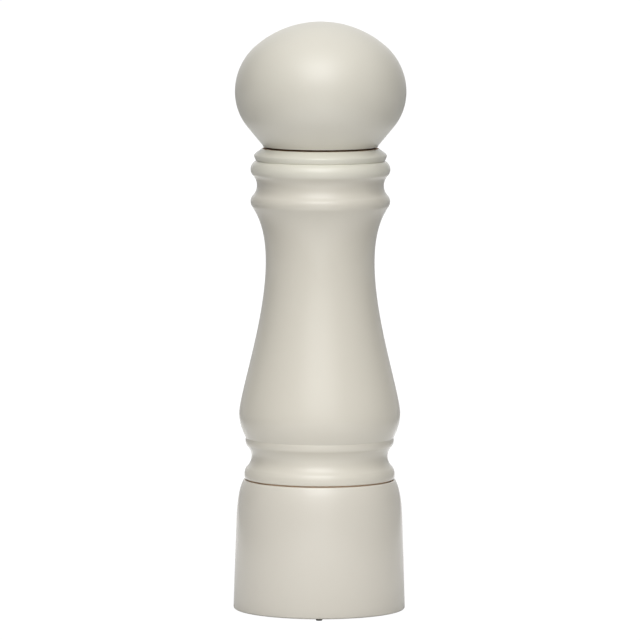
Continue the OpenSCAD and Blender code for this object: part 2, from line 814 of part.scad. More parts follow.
module drive_shaft() {
    past_r = shaft_r + cut_past;
    grip_neck_r = shaft_r - neck_cut;
    neck_low_z = grip_z - neck_room;
    neck_high_z = grip_z + grip_t + neck_room;
    grooves = [for (z = clip_z_list) each
        [[past_r, z - fit_gap], [groove_r, z - fit_gap],
        [groove_r, z + small_t + fit_gap], [past_r, z + small_t + fit_gap]]];
    color(STEEL)
        difference() {
            intersection() {
                translate([0, 0, shaft_z])
                    linear_extrude(shaft_top_z - shaft_z)
                        shaft_section(0);
                turned(concat(
                    [[0, shaft_z - cut_past], [past_r, shaft_z - cut_past]],
                    grooves,
                    [[past_r, neck_low_z - cut_past],
                    [grip_neck_r, neck_low_z + neck_cut],
                    [grip_neck_r, neck_high_z - neck_cut],
                    [past_r, neck_high_z + cut_past],
                    [past_r, shaft_top_z - nose_chamfer - cut_past],
                    [past_r - nose_chamfer - 2 * cut_past, shaft_top_z + cut_past],
                    [0, shaft_top_z + cut_past]]
                ));
            }
            translate([0, 0, shaft_z - cut_past])
                cylinder(r = rotor_screw_r + fit_gap, h = tap_depth + cut_past);
        }
}

module thrust_washers() {
    color(STEEL)
        for (z = washer_z_list)
            ring(shaft_r + fit_gap, hub_r - fit_gap, z, z + small_t);
}

module shaft_clips() {
    color(STEEL)
        for (z = clip_z_list)
            open_clip(groove_r + fit_gap, clip_out_r, z, small_t, clip_mouth);
}

// Radius of the rotor's crests at a height above its foot
function rotor_crest(h) =
    h < fine_h
        ? rotor_r + (rotor_waist_r - rotor_r) * h / fine_h
        : rotor_waist_r + (rotor_top_r - rotor_waist_r) * (h - fine_h) / (rotor_h - fine_h);

module rotor() {
    n = 48;
    break_lobes = 6;
    break_twist = 70;
    levels = 7;
    shift = 0.6;
    heights = concat([0, fine_h / 2, fine_h],
        [for (i = [0:levels]) fine_h + shift + (rotor_h - fine_h - shift) * i / levels]);
    points = [for (h = heights, j = [0:n - 1])
        let (
            up = max(h - fine_h, 0) / (rotor_h - fine_h),
            wave = (1 - cos(360 * j * break_lobes / n)) / 2,
            cut = h <= fine_h ? fine_depth * (j % 2) : break_depth * wave,
            a = 360 * j / n + break_twist * up,
            r = rotor_crest(h) - cut
        )
        [r * cos(a), r * sin(a), rotor_z + h]];
    color(CERAMIC)
        difference() {
            polyhedron(points, ring_faces(len(heights), n));
            translate([0, 0, shaft_z])
                linear_extrude(rotor_h)
                    shaft_section(fit_gap);
            translate([0, 0, rotor_z - cut_past])
                cylinder(r = rotor_screw_r + fit_gap, h = rotor_floor + 2 * cut_past);
        }
}

module rotor_washer() {
    color(STEEL)
        ring(rotor_screw_r + fit_gap, rotor_washer_r, rotor_washer_z, rotor_z);
}

module rotor_screw() {
    color(STEEL)
        round_screw(rotor_screw_z, rotor_head_r, rotor_head_h, rotor_screw_r,
            small_t + rotor_floor + tap_depth - tap_spare);
}

// Stator group

// Radius of the stator's crests at a height above the rotor's foot
function stator_crest(h) =
    h < fine_h
        ? rotor_crest(h) + grind_gap
        : rotor_waist_r + grind_gap
            + (throat_r - rotor_waist_r - grind_gap) * (h - fine_h) / (stator_lift + stator_h - fine_h);

module stator() {
    n = 48;
    break_lobes = 8;
    break_cut = 0.9;
    shift = 0.5;
    levels = 5;
    low_h = stator_lift - cut_past;
    high_h = stator_lift + stator_h + cut_past;
    heights = concat([low_h, fine_h],
        [for (i = [0:levels]) fine_h + shift + (high_h - fine_h - shift) * i / levels]);
    points = [for (h = heights, j = [0:n - 1])
        let (
            wave = (1 + cos(360 * j * break_lobes / n)) / 2,
            cut = h <= fine_h ? fine_depth * (j % 2) : break_cut * wave,
            a = 360 * j / n,
            r = stator_crest(h) + cut
        )
        [r * cos(a), r * sin(a), rotor_z + h]];
    color(CERAMIC)
        difference() {
            translate([0, 0, stator_z])
                cylinder(r = stator_r, h = stator_h);
            polyhedron(points, ring_faces(len(heights), n));
            placed(screw_angles, carrier_in_r)
                translate([0, 0, stator_z - cut_past])
                    cylinder(r = key_r + fit_gap, h = stator_h + 2 * cut_past, $fn = key_sides);
        }
}

module stator_carrier() {
    clip_groove_r = carrier_in_r + clip_groove;
    clip_groove_z = carrier_z + clip_bed;
    clip_groove_top_z = stator_z - fit_gap;
    root_r = (carrier_in_r + carrier_r) / 2;
    color(NYLON)
        difference() {
            union() {
                turned([[carrier_in_r, carrier_z], [carrier_r, carrier_z], [carrier_r, carrier_top_z],
                    [lip_r, carrier_top_z], [lip_r, carrier_top_z - lip_t],
                    [carrier_in_r, carrier_top_z - lip_t]]);
                placed(screw_angles, carrier_in_r)
                    translate([0, 0, stator_z])
                        cylinder(r = key_r, h = stator_h + lip_t / 2, $fn = key_sides);
                placed(lug_angles, root_r) {
                    translate([0, -nose_r, lug_z + nose_r])
                        cube([lug_end_r - root_r, lug_w, lug_side_h]);
                    translate([0, 0, lug_z + nose_r])
                        rotate([0, 90, 0])
                            cylinder(r = nose_r, h = lug_end_r - root_r, $fn = nose_sides);
                }
            }
            ring(lip_r, clip_groove_r, clip_groove_z, clip_groove_top_z);
        }
}

module stator_clip() {
    color(STEEL)
        open_clip(carrier_in_r - clip_reach, carrier_in_r + clip_groove - fit_gap,
            carrier_z + clip_bed + fit_gap / 2, small_t, stator_clip_mouth);
}

head();
drive_socket();
socket_screws();
grip_ring();
head_slip_washer();
body();
feed_guide();
shaft_bush();
grinder_housing();
housing_screws();
carrier_spring();
base();
base_slip_washer();
cam_ring();
cam_screws();
rubber_feet();
drive_shaft();
thrust_washers();
shaft_clips();
rotor();
rotor_washer();
rotor_screw();
stator();
stator_carrier();
stator_clip();
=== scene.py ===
"""Looks of a top-turn mill: satin lacquer on turned wood outside, a ceramic grinder inside.

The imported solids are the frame. The three wooden pieces are turned again here with finer outlines, the
other pieces are copied from the frame with their edges eased, the spring is wound again, and every surface
gets a procedural finish. Lengths are in metres; sizes are written in millimetres times MM.
"""

import logging
import math
from dataclasses import dataclass
from enum import Enum

import bmesh
import bpy
from mathutils import Matrix, Vector
from mathutils.geometry import interpolate_bezier


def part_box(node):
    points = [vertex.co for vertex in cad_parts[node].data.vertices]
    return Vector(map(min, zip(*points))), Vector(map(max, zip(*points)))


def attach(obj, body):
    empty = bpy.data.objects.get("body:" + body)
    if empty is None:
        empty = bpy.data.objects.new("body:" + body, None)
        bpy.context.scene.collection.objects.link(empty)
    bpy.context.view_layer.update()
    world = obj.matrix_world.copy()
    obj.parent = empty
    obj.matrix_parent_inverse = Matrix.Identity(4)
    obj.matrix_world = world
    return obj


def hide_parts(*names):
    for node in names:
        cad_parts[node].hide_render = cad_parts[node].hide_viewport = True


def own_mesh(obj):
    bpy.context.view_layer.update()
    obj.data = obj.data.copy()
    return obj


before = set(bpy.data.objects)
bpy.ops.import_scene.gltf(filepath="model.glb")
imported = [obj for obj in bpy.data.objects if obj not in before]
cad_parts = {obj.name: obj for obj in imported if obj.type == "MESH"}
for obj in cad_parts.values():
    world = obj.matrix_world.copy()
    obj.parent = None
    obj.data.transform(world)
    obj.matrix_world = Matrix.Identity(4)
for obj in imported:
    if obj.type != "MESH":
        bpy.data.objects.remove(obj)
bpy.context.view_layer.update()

MM = 0.001
LOG = logging.getLogger("mill")

# Corners closer than this are joined: first in a raw mesh, then in one whose edges are eased.
MERGE = 0.002 * MM
SAME_PLACE = 0.0001 * MM

# Facets in a full turn of a wooden piece, and how far the edges of one ring may differ in radius.
TURN_STEPS = 160
RING_PLAY = 10 * MERGE

# Angles between faces: flat enough to join, sharp enough to ease, and sharp enough to shade as an edge.
FLAT = math.radians(0.5)
SHARP_TURNED = math.radians(18)
SHARP_PACKED = math.radians(40)
SHARP_SHADED = math.radians(38)

# Facets across an eased edge.
TURNED_FACETS = 3
PACKED_FACETS = 2

# Places of a mix node's colour sockets, which share their names with its other sockets.
MIX_SHARE = 0
MIX_FIRST = 6
MIX_SECOND = 7
MIX_RESULT = 2

WHITE = (1.0, 1.0, 1.0)
ORIGIN = (0.0, 0.0, 0.0)

Colour = tuple[float, float, float]
Triple = tuple[float, float, float]
Span = tuple[float, float]
Socket = bpy.types.NodeSocket


class Slot(Enum):
    """Material slots of the record."""

    LACQUERED_WOOD = "lacquered_wood"
    NYLON = "nylon"
    STEEL = "steel"
    FIBRE = "fibre"
    BRONZE = "bronze"
    CERAMIC = "ceramic"
    RUBBER = "rubber"


class Mover(Enum):
    """Bodies of the mill that move on their own."""

    BODY = "body"
    BASE = "base"
    DRIVE = "drive"
    HEAD = "head"
    CARRIAGE = "carriage"


class Surface(Enum):
    """Finish of a stretch of a turned outline, as its place in the piece's list of materials."""

    LACQUER = 0
    BARE = 1


class Wave(Enum):
    """Even patterns about the mill's axis, each with the node's setting that names the axis."""

    RINGS = "rings_direction"
    BANDS = "bands_direction"


@dataclass(frozen=True)
class Step:
    """A smooth step of a value: where it starts and ends, and its result before and past it."""

    start: float
    end: float
    low: float
    high: float


@dataclass(frozen=True)
class Noise:
    """An irregular pattern: features in a metre, octaves of finer noise, and its scale along the axis.

    A scale along the axis below 1 draws the pattern out, as grain is.
    """

    scale: float
    detail: float = 2.0
    along: float = 1.0


@dataclass(frozen=True)
class Lines:
    """An even pattern: rings round the mill's axis or bands along it, moved a little by noise."""

    wave: Wave
    scale: float
    distortion: float
    stretch: Triple = (1.0, 1.0, 1.0)
    detail: float = 2.0


class Tree:
    """A node tree, with short calls to add and join its nodes."""

    def __init__(self, tree: bpy.types.NodeTree) -> None:
        """Takes the tree to work on."""
        self.tree = tree

    def add(self, kind: str, inputs: dict[str | int, object], **settings: object) -> bpy.types.Node:
        """Adds a node and fills or joins its inputs.

        Args:
            kind: Type of the node.
            inputs: Value or socket for each input, by name or place.
            **settings: Properties of the node itself.

        Returns:
            The new node.
        """
        node = self.tree.nodes.new(kind)
        for name, value in settings.items():
            setattr(node, name, value)
        for name, value in inputs.items():
            self.put(node, name, value)
        return node

    def put(self, node: bpy.types.Node, name: str | int, value: object) -> None:
        """Joins a socket to a node's input, or sets the input's value.

        Args:
            node: Node that has the input.
            name: Name or place of the input.
            value: A socket, a number, a vector or a colour.
        """
        if isinstance(value, Socket):
            self.tree.links.new(value, node.inputs[name])
        elif node.inputs[name].type == "RGBA":
            node.inputs[name].default_value = (*value, 1.0)
        else:
            node.inputs[name].default_value = value

    def ramp(self, value: Socket, step: Step) -> Socket:
        """Returns a smooth step of a value.

        Args:
            value: Value to follow.
            step: Where the step lies, and its results.

        Returns:
            The step's output socket.
        """
        inputs = {
            "Value": value,
            "From Min": step.start,
            "From Max": step.end,
            "To Min": step.low,
            "To Max": step.high,
        }
        return self.add("ShaderNodeMapRange", inputs, interpolation_type="SMOOTHSTEP").outputs["Result"]

    def math(self, operation: str, first: object, second: object) -> Socket:
        """Returns the result of an operation on two values or sockets."""
        return self.add("ShaderNodeMath", {0: first, 1: second}, operation=operation).outputs[0]

    def vector(self, operation: str, first: object, second: object) -> bpy.types.Node:
        """Returns a node that works on two vectors."""
        return self.add("ShaderNodeVectorMath", {0: first, 1: second}, operation=operation)

    def length(self, vector: Socket) -> Socket:
        """Returns the length of a vector."""
        return self.vector("LENGTH", vector, ORIGIN).outputs["Value"]

    def axes(self, vector: Socket) -> bpy.types.bpy_prop_collection:
        """Returns the outputs X, Y and Z of a vector."""
        return self.add("ShaderNodeSeparateXYZ", {"Vector": vector}).outputs

    def glow(self, strength: object) -> Socket:
        """Returns a white surround of a strength."""
        return self.add("ShaderNodeBackground", {"Color": WHITE, "Strength": strength}).outputs[0]

    def show(self, lit: Socket, seen: Socket, share: float) -> Socket:
        """Mixes in a shader that only the camera sees.

        Args:
            lit: Shader that takes part in the lighting.
            seen: Shader that the camera sees.
            share: How much of it the camera sees.

        Returns:
            The mixed shader's socket.
        """
        sight = self.add("ShaderNodeLightPath", {}).outputs["Is Camera Ray"]
        inputs = {0: self.math("MULTIPLY", sight, share), 1: lit, 2: seen}
        return self.add("ShaderNodeMixShader", inputs).outputs[0]


class Graph(Tree):
    """Node tree of one material, whose patterns lie on the object's coordinates."""

    def __init__(self, name: str) -> None:
        """Starts a material with one shader.

        Args:
            name: Name of the material.
        """
        self.material = bpy.data.materials.new(name)
        self.material.use_nodes = True
        super().__init__(self.material.node_tree)
        self.shader = self.tree.nodes["Principled BSDF"]
        self.place = self.tree.nodes.new("ShaderNodeTexCoord").outputs["Object"]

    def stretched(self, scale: Triple) -> Socket:
        """Returns the object's coordinates scaled along each axis."""
        return self.add("ShaderNodeMapping", {"Vector": self.place, "Scale": scale}).outputs["Vector"]

    def noise(self, pattern: Noise) -> Socket:
        """Draws an irregular pattern.

        Args:
            pattern: Pattern to draw.

        Returns:
            The pattern's output socket, from 0 to 1.
        """
        place = self.stretched((1.0, 1.0, pattern.along))
        inputs = {"Vector": place, "Scale": pattern.scale, "Detail": pattern.detail}
        return self.add("ShaderNodeTexNoise", inputs).outputs["Fac"]

    def lines(self, pattern: Lines) -> Socket:
        """Draws an even pattern.

        Args:
            pattern: Pattern to draw.

        Returns:
            The pattern's output socket, from 0 to 1.
        """
        inputs = {
            "Vector": self.stretched(pattern.stretch),
            "Scale": pattern.scale,
            "Distortion": pattern.distortion,
            "Detail": pattern.detail,
        }
        settings = {"wave_type": pattern.wave.name, pattern.wave.value: "Z"}
        return self.add("ShaderNodeTexWave", inputs, **settings).outputs["Fac"]

    def span(self, pattern: Socket, ends: Span) -> Socket:
        """Returns a pattern stretched to run from one value to another."""
        inputs = {"Value": pattern, "To Min": ends[0], "To Max": ends[1]}
        return self.add("ShaderNodeMapRange", inputs).outputs["Result"]

    def blend(self, share: Socket, first: object, second: object) -> Socket:
        """Returns a mix of two colours or their sockets, where share is how much of the second shows."""
        inputs = {MIX_SHARE: share, MIX_FIRST: first, MIX_SECOND: second}
        return self.add("ShaderNodeMix", inputs, data_type="RGBA").outputs[MIX_RESULT]

    def relief(self, pattern: Socket, depth: float, below: Socket | None = None) -> Socket:
        """Raises a pattern.

        Args:
            pattern: Height pattern, from 0 to 1.
            depth: Height of the relief, in metres.
            below: Normal that this relief lies on.

        Returns:
            The normal's socket.
        """
        inputs = {"Height": pattern, "Distance": depth, "Strength": 1.0}
        if below is not None:
            inputs["Normal"] = below
        return self.add("ShaderNodeBump", inputs).outputs["Normal"]

    def finish(self, **sockets: object) -> bpy.types.Material:
        """Fills the shader's inputs.

        Args:
            **sockets: Value or socket for each input, with underscores for spaces.

        Returns:
            The finished material.
        """
        for name, value in sockets.items():
            words = " ".join(word.upper() if word == "ior" else word.capitalize() for word in name.split("_"))
            self.put(self.shader, words, value)
        return self.material


@dataclass(frozen=True)
class Finish:
    """A finish of two tones, whose colour, roughness and relief each follow an irregular pattern.

    A contrast that starts below 0 lets less of the second tone show.
    """

    name: str
    first: Colour
    second: Colour
    mottle: Noise
    gloss: Noise
    rough: Span
    skin: Noise
    skin_depth: float
    contrast: Span = (0.0, 1.0)
    metallic: float = 0.0

    def sockets(self, graph: Graph) -> dict[str, object]:
        """Draws the patterns.

        Args:
            graph: Node tree to draw them in.

        Returns:
            Value or socket for each input of the shader that the finish sets.
        """
        mottle = graph.span(graph.noise(self.mottle), self.contrast)
        return {
            "base_color": graph.blend(mottle, self.first, self.second),
            "metallic": self.metallic,
            "roughness": graph.span(graph.noise(self.gloss), self.rough),
            "normal": graph.relief(graph.noise(self.skin), self.skin_depth),
        }

    def material(self) -> bpy.types.Material:
        """Returns the finish as a material."""
        graph = Graph(self.name)
        return graph.finish(**self.sockets(graph))


@dataclass(frozen=True)
class Lacquer(Finish):
    """Satin off-white lacquer, sprayed over turned wood whose grain still lifts it a little.

    Its skin is the grain, under the finer peel of the spray. Up the collar's step it turns to a lighter tone:
    painted light on the collar.
    """

    mottle: Noise = Noise(26.0, 3.0)
    gloss: Noise = Noise(140.0, 4.0)
    rough: Span = (0.36, 0.43)
    skin: Noise = Noise(900.0, 3.0, along=0.05)
    skin_depth: float = 0.012 * MM
    peel: Noise = Noise(2600.0)
    peel_depth: float = 0.004 * MM
    specular: float = 0.30
    coat: float = 0.60
    coat_rough: float = 0.08
    # painted light: the collar's step, and the lighter tone mixed in up it, stand in for light falling on the
    # collar
    collar: Step | None = None
    collar_painted_light: Colour = (0.765, 0.746, 0.648)

    def sockets(self, graph: Graph) -> dict[str, object]:
        """Draws the patterns, with the peel on the grain and the clear coat over both.

        Args:
            graph: Node tree to draw them in.

        Returns:
            Value or socket for each input of the shader that the finish sets.
        """
        sockets = super().sockets(graph)
        sockets["normal"] = graph.relief(graph.noise(self.peel), self.peel_depth, sockets["normal"])
        # Painted light: up the collar's step the colour turns to the lighter tone.
        if self.collar is not None:
            share = graph.ramp(graph.axes(graph.place)["Z"], self.collar)
            sockets["base_color"] = graph.blend(share, sockets["base_color"], self.collar_painted_light)
        sockets["specular_ior_level"] = self.specular
        sockets["coat_weight"] = self.coat
        sockets["coat_roughness"] = self.coat_rough
        return sockets


@dataclass(frozen=True)
class BareWood:
    """Bare beech inside the turned pieces: rings round the axis, flecks along it, and faint turning lines."""

    name: str = "bare_beech"
    pale: Colour = (0.70, 0.53, 0.36)
    deep: Colour = (0.56, 0.39, 0.24)
    fleck: Colour = (0.40, 0.25, 0.15)
    rings: Lines = Lines(Wave.RINGS, 130.0, 2.5, (1.0, 0.7, 0.06))
    flecks: Noise = Noise(1500.0, along=0.04)
    fleck_contrast: Span = (-1.1, 1.5)
    fleck_depth: float = 0.03 * MM
    turning: Lines = Lines(Wave.BANDS, 700.0, 0.4)
    turning_depth: float = 0.01 * MM
    rough: Span = (0.52, 0.72)

    def material(self) -> bpy.types.Material:
        """Draws the wood.

        Returns:
            The finish as a material.
        """
        graph = Graph(self.name)
        wood = graph.blend(graph.lines(self.rings), self.pale, self.deep)
        flecks = graph.noise(self.flecks)
        turning = graph.relief(graph.lines(self.turning), self.turning_depth)
        return graph.finish(
            base_color=graph.blend(graph.span(flecks, self.fleck_contrast), wood, self.fleck),
            roughness=graph.span(flecks, self.rough),
            normal=graph.relief(flecks, self.fleck_depth, turning),
        )


@dataclass(frozen=True)
class Nylon(Finish):
    """Black moulded nylon with a fine spark-eroded skin."""

    name: str = "moulded_nylon"
    first: Colour = (0.016, 0.016, 0.017)
    second: Colour = (0.030, 0.030, 0.031)
    mottle: Noise = Noise(90.0, 3.0)
    gloss: Noise = Noise(400.0, 3.0)
    rough: Span = (0.38, 0.52)
    skin: Noise = Noise(5200.0)
    skin_depth: float = 0.008 * MM


@dataclass(frozen=True)
class Steel(Finish):
    """Bright steel with the fine lines of drawing or stamping."""

    name: str = "drawn_steel"
    first: Colour = (0.66, 0.67, 0.68)
    second: Colour = (0.50, 0.51, 0.52)
    mottle: Noise = Noise(160.0, 3.0)
    gloss: Noise = Noise(6000.0, along=0.02)
    rough: Span = (0.20, 0.40)
    skin: Noise = gloss
    skin_depth: float = 0.003 * MM
    metallic: float = 1.0


@dataclass(frozen=True)
class Fibre(Finish):
    """Waxed fibre of the slip washers, pressed from flakes, its tan made paler than its own as painted light
    in the seam over the base.
    """

    name: str = "tan_fibre_painted_light"
    # painted light: these tans are paler than the fibre's own, lighting the shaded seam over the base
    first: Colour = (0.82, 0.61, 0.42)
    second: Colour = (0.70, 0.49, 0.31)
    mottle: Noise = Noise(1400.0, 4.0)
    gloss: Noise = mottle
    rough: Span = (0.5, 0.8)
    skin: Noise = mottle
    skin_depth: float = 0.03 * MM


@dataclass(frozen=True)
class ShadedFibre(Fibre):
    """The same fibre, darkened as painted shade for the upper washer, whose seam lies under the head."""

    name: str = "painted_shade_fibre"
    first: Colour = (0.17, 0.11, 0.06)
    second: Colour = (0.10, 0.06, 0.03)


@dataclass(frozen=True)
class Bronze(Finish):
    """Sintered bronze of the bush, open-pored and oiled."""

    name: str = "sintered_bronze"
    first: Colour = (0.62, 0.42, 0.18)
    second: Colour = (0.34, 0.21, 0.09)
    mottle: Noise = Noise(4200.0, 3.0)
    gloss: Noise = mottle
    rough: Span = (0.28, 0.5)
    skin: Noise = mottle
    skin_depth: float = 0.012 * MM
    contrast: Span = (-0.6, 1.4)
    metallic: float = 1.0


@dataclass(frozen=True)
class Ceramic(Finish):
    """Unglazed fired ceramic of the grinder, with faint specks."""

    name: str = "fired_ceramic"
    first: Colour = (0.84, 0.82, 0.76)
    second: Colour = (0.70, 0.66, 0.58)
    mottle: Noise = Noise(1900.0)
    gloss: Noise = Noise(300.0, 3.0)
    rough: Span = (0.42, 0.6)
    skin: Noise = Noise(3600.0)
    skin_depth: float = 0.01 * MM
    contrast: Span = (-0.8, 1.2)


@dataclass(frozen=True)
class Rubber(Finish):
    """Soft black rubber of the feet, dusted grey."""

    name: str = "soft_rubber"
    first: Colour = (0.014, 0.014, 0.015)
    second: Colour = (0.045, 0.044, 0.042)
    mottle: Noise = Noise(1200.0, 4.0)
    gloss: Noise = mottle
    rough: Span = (0.7, 0.9)
    skin: Noise = mottle
    skin_depth: float = 0.01 * MM


@dataclass(frozen=True)
class Fitting:
    """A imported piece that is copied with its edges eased, and any finish in place of its slot's own."""

    node: str
    slot: Slot
    ease: float
    finish: Finish | None = None


class Outline:
    """Half outline of a turned piece, radius and height, drawn stretch by stretch with a pen.

    Each stretch takes the surface that the outline has when it is drawn.
    """

    def __init__(self, r: float, z: float) -> None:
        """Puts the pen down.

        Args:
            r: Radius of the first point.
            z: Height of the first point.
        """
        self.start = Vector((r, z))
        self.pen = self.start
        self.surface = Surface.LACQUER
        self.stretches: list[tuple[list[Vector], Surface]] = []

    def _draw(self, points: list[Vector]) -> None:
        """Adds a stretch from the pen through the points, and moves the pen to its end."""
        self.stretches.append(([self.pen, *points], self.surface))
        self.pen = points[-1]

    def move(self, r: float, z: float) -> None:
        """Lifts the pen and puts it down at a radius and a height."""
        self.pen = Vector((r, z))

    def lines(self, *points: tuple[float, float]) -> None:
        """Draws straight stretches through points of a radius and a height."""
        for point in points:
            self._draw([Vector(point)])

    def close(self) -> None:
        """Draws a straight stretch back to the first point."""
        self._draw([self.start])

    def arc(self, centre: Vector, turn: float, steps: int = 24) -> None:
        """Draws an arc round a centre.

        Args:
            centre: Centre of the arc.
            turn: Angle of the arc, positive anticlockwise with the radius to the right.
            steps: Number of straight pieces.
        """
        arm = self.pen - centre
        self._draw([centre + Matrix.Rotation(turn * step / steps, 2) @ arm for step in range(1, steps + 1)])

    def bow(self, r: float, z: float, sag: float, steps: int = 16) -> None:
        """Draws an arc to a radius and a height.

        Args:
            r: Radius of the end.
            z: Height of the end.
            sag: How far the arc bows to the right of the way it runs, or to the left if negative.
            steps: Number of straight pieces.
        """
        chord = Vector((r, z)) - self.pen
        side = Vector((chord.y, -chord.x)).normalized()
        radius = (chord.length_squared / 4 + sag * sag) / (2 * sag)
        centre = self.pen + chord / 2 + side * (sag - radius)
        self.arc(centre, 4 * math.atan2(2 * sag, chord.length), steps)

    def curve(self, leave: Vector, arrive: Vector, end: Vector, steps: int = 40) -> None:
        """Draws a smooth curve.

        Args:
            leave: Handle that the curve leaves towards.
            arrive: Handle that it arrives from.
            end: End of the curve.
            steps: Number of straight pieces.
        """
        points = interpolate_bezier(self.pen, leave, arrive, end, steps + 1)
        self._draw([point.to_2d() for point in points[1:]])


def placed(name: str, mesh: bmesh.types.BMesh, materials: list[bpy.types.Material]) -> bpy.types.Object:
    """Writes a mesh to a new object of the scene.

    Args:
        name: Name of the object.
        mesh: Finished mesh, which is freed.
        materials: Materials of the object, in order.

    Returns:
        The new object.
    """
    data = bpy.data.meshes.new(name)
    mesh.to_mesh(data)
    mesh.free()
    for material in materials:
        data.materials.append(material)
    new_object = bpy.data.objects.new(name, data)
    bpy.context.scene.collection.objects.link(new_object)
    return new_object


class Maker:
    """Makes and dresses the pieces: turns outlines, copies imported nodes, and gives both their finish."""

    def __init__(self) -> None:
        """Makes each shared finish once."""
        finishes = {
            Slot.NYLON: Nylon(),
            Slot.STEEL: Steel(),
            Slot.FIBRE: Fibre(),
            Slot.BRONZE: Bronze(),
            Slot.CERAMIC: Ceramic(),
            Slot.RUBBER: Rubber(),
        }
        self.materials = {slot: finish.material() for slot, finish in finishes.items()}
        self.bare_wood = BareWood().material()

    @staticmethod
    def _round(mesh: bmesh.types.BMesh, edges: list[bmesh.types.BMEdge], ease: float, facets: int) -> None:
        """Rounds edges of a mesh.

        Args:
            mesh: Mesh that has the edges.
            edges: Edges to round.
            ease: Radius of the rounding.
            facets: Number of facets across it.
        """
        bmesh.ops.bevel(
            mesh, geom=edges, offset=ease, offset_type="OFFSET", affect="EDGES", segments=facets,
            profile=0.5, material=-1, clamp_overlap=True,
        )

    def _round_rings(self, mesh: bmesh.types.BMesh, ease: float) -> None:
        """Rounds each full ring of sharp outer edges of a turned mesh.

        Args:
            mesh: Turned mesh.
            ease: Radius of the rounding.
        """
        rings: dict[tuple[int, int], list[bmesh.types.BMEdge]] = {}
        for edge in mesh.edges:
            if edge.is_convex and edge.calc_face_angle() > SHARP_TURNED:
                middle = (edge.verts[0].co + edge.verts[1].co) / 2
                key = (round(middle.z / MERGE), round(middle.to_2d().length / RING_PLAY))
                rings.setdefault(key, []).append(edge)
        for edges in rings.values():
            if len(edges) == TURN_STEPS:
                self._round(mesh, edges, ease, TURNED_FACETS)

    def turned(self, name: str, outline: Outline, lacquer: Lacquer, ease: float) -> bpy.types.Object:
        """Turns an outline round the mill's axis.

        Args:
            name: Name of the piece.
            outline: Closed half outline.
            lacquer: Finish of its lacquered stretches.
            ease: Radius of the rounding on its sharp edges.

        Returns:
            The new object.
        """
        mesh = bmesh.new()
        finish = mesh.verts.layers.int.new("finish")
        for points, surface in outline.stretches:
            verts = [mesh.verts.new((point.x, 0.0, point.y)) for point in points]
            for vert in verts:
                vert[finish] = surface.value
            for pair in zip(verts, verts[1:]):
                mesh.edges.new(pair)
        bmesh.ops.spin(
            mesh, geom=[*mesh.verts, *mesh.edges], axis=(0, 0, 1), cent=(0, 0, 0), angle=2 * math.pi,
            steps=TURN_STEPS, use_merge=True,
        )
        for face in mesh.faces:
            face.material_index = face.verts[0][finish]
        mesh.verts.layers.int.remove(finish)
        bmesh.ops.remove_doubles(mesh, verts=mesh.verts, dist=MERGE)
        bmesh.ops.recalc_face_normals(mesh, faces=mesh.faces)
        self._round_rings(mesh, ease)
        return self.finished(name, mesh, [lacquer.material(), self.bare_wood])

    def eased(self, fitting: Fitting) -> bpy.types.Object:
        """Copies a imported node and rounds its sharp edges.

        Args:
            fitting: Piece to copy.

        Returns:
            The new object.
        """
        mesh = bmesh.new()
        mesh.from_mesh(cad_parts[fitting.node].data)
        bmesh.ops.remove_doubles(mesh, verts=mesh.verts, dist=MERGE)
        bmesh.ops.dissolve_limit(
            mesh, angle_limit=FLAT, verts=mesh.verts, edges=mesh.edges, use_dissolve_boundaries=False,
        )
        sharp = [edge for edge in mesh.edges if edge.is_manifold and edge.calc_face_angle() > SHARP_PACKED]
        self._round(mesh, sharp, fitting.ease, PACKED_FACETS)
        material = fitting.finish.material() if fitting.finish else self.materials[fitting.slot]
        return self.finished(f"{fitting.node}_dressed", mesh, [material])

    @staticmethod
    def finished(name: str, mesh: bmesh.types.BMesh, materials: list[bpy.types.Material]) -> bpy.types.Object:
        """Joins the corners that easing left in one place, and makes a smooth-shaded object.

        Args:
            name: Name of the object.
            mesh: Mesh to finish, which is freed.
            materials: Materials of the object, in order.

        Returns:
            The new object.
        """
        bmesh.ops.remove_doubles(mesh, verts=mesh.verts, dist=SAME_PLACE)
        bmesh.ops.recalc_face_normals(mesh, faces=mesh.faces)
        piece = placed(name, mesh, materials)
        stale = piece.data.attributes.get("custom_normal")
        if stale is not None:
            piece.data.attributes.remove(stale)
        piece.data.shade_smooth()
        piece.data.set_sharp_from_angle(angle=SHARP_SHADED)
        return piece

    @staticmethod
    def seat(piece: bpy.types.Object, node: str, mover: Mover, slot: Slot) -> None:
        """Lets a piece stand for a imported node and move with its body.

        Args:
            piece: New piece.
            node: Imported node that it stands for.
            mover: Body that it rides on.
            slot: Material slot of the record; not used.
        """
        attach(piece, mover.value)
        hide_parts(node)
        LOG.info("%s stands for %s on %s", piece.name, node, mover.value)

    def turn(self, mover: Mover, outline: Outline, lacquer: Lacquer, ease: float) -> None:
        """Turns the wooden piece that has its body's name, and seats it.

        Args:
            mover: Body that the piece rides on.
            outline: Closed half outline.
            lacquer: Finish of its lacquered stretches.
            ease: Radius of the rounding on its sharp edges.
        """
        node = mover.value
        piece = self.turned(f"turned_{node}", outline, lacquer, ease)
        self.seat(piece, node, mover, Slot.LACQUERED_WOOD)

    def fit(self, mover: Mover, fittings: tuple[Fitting, ...]) -> None:
        """Copies and seats the fittings that ride on one body."""
        for fitting in fittings:
            self.seat(self.eased(fitting), fitting.node, mover, fitting.slot)


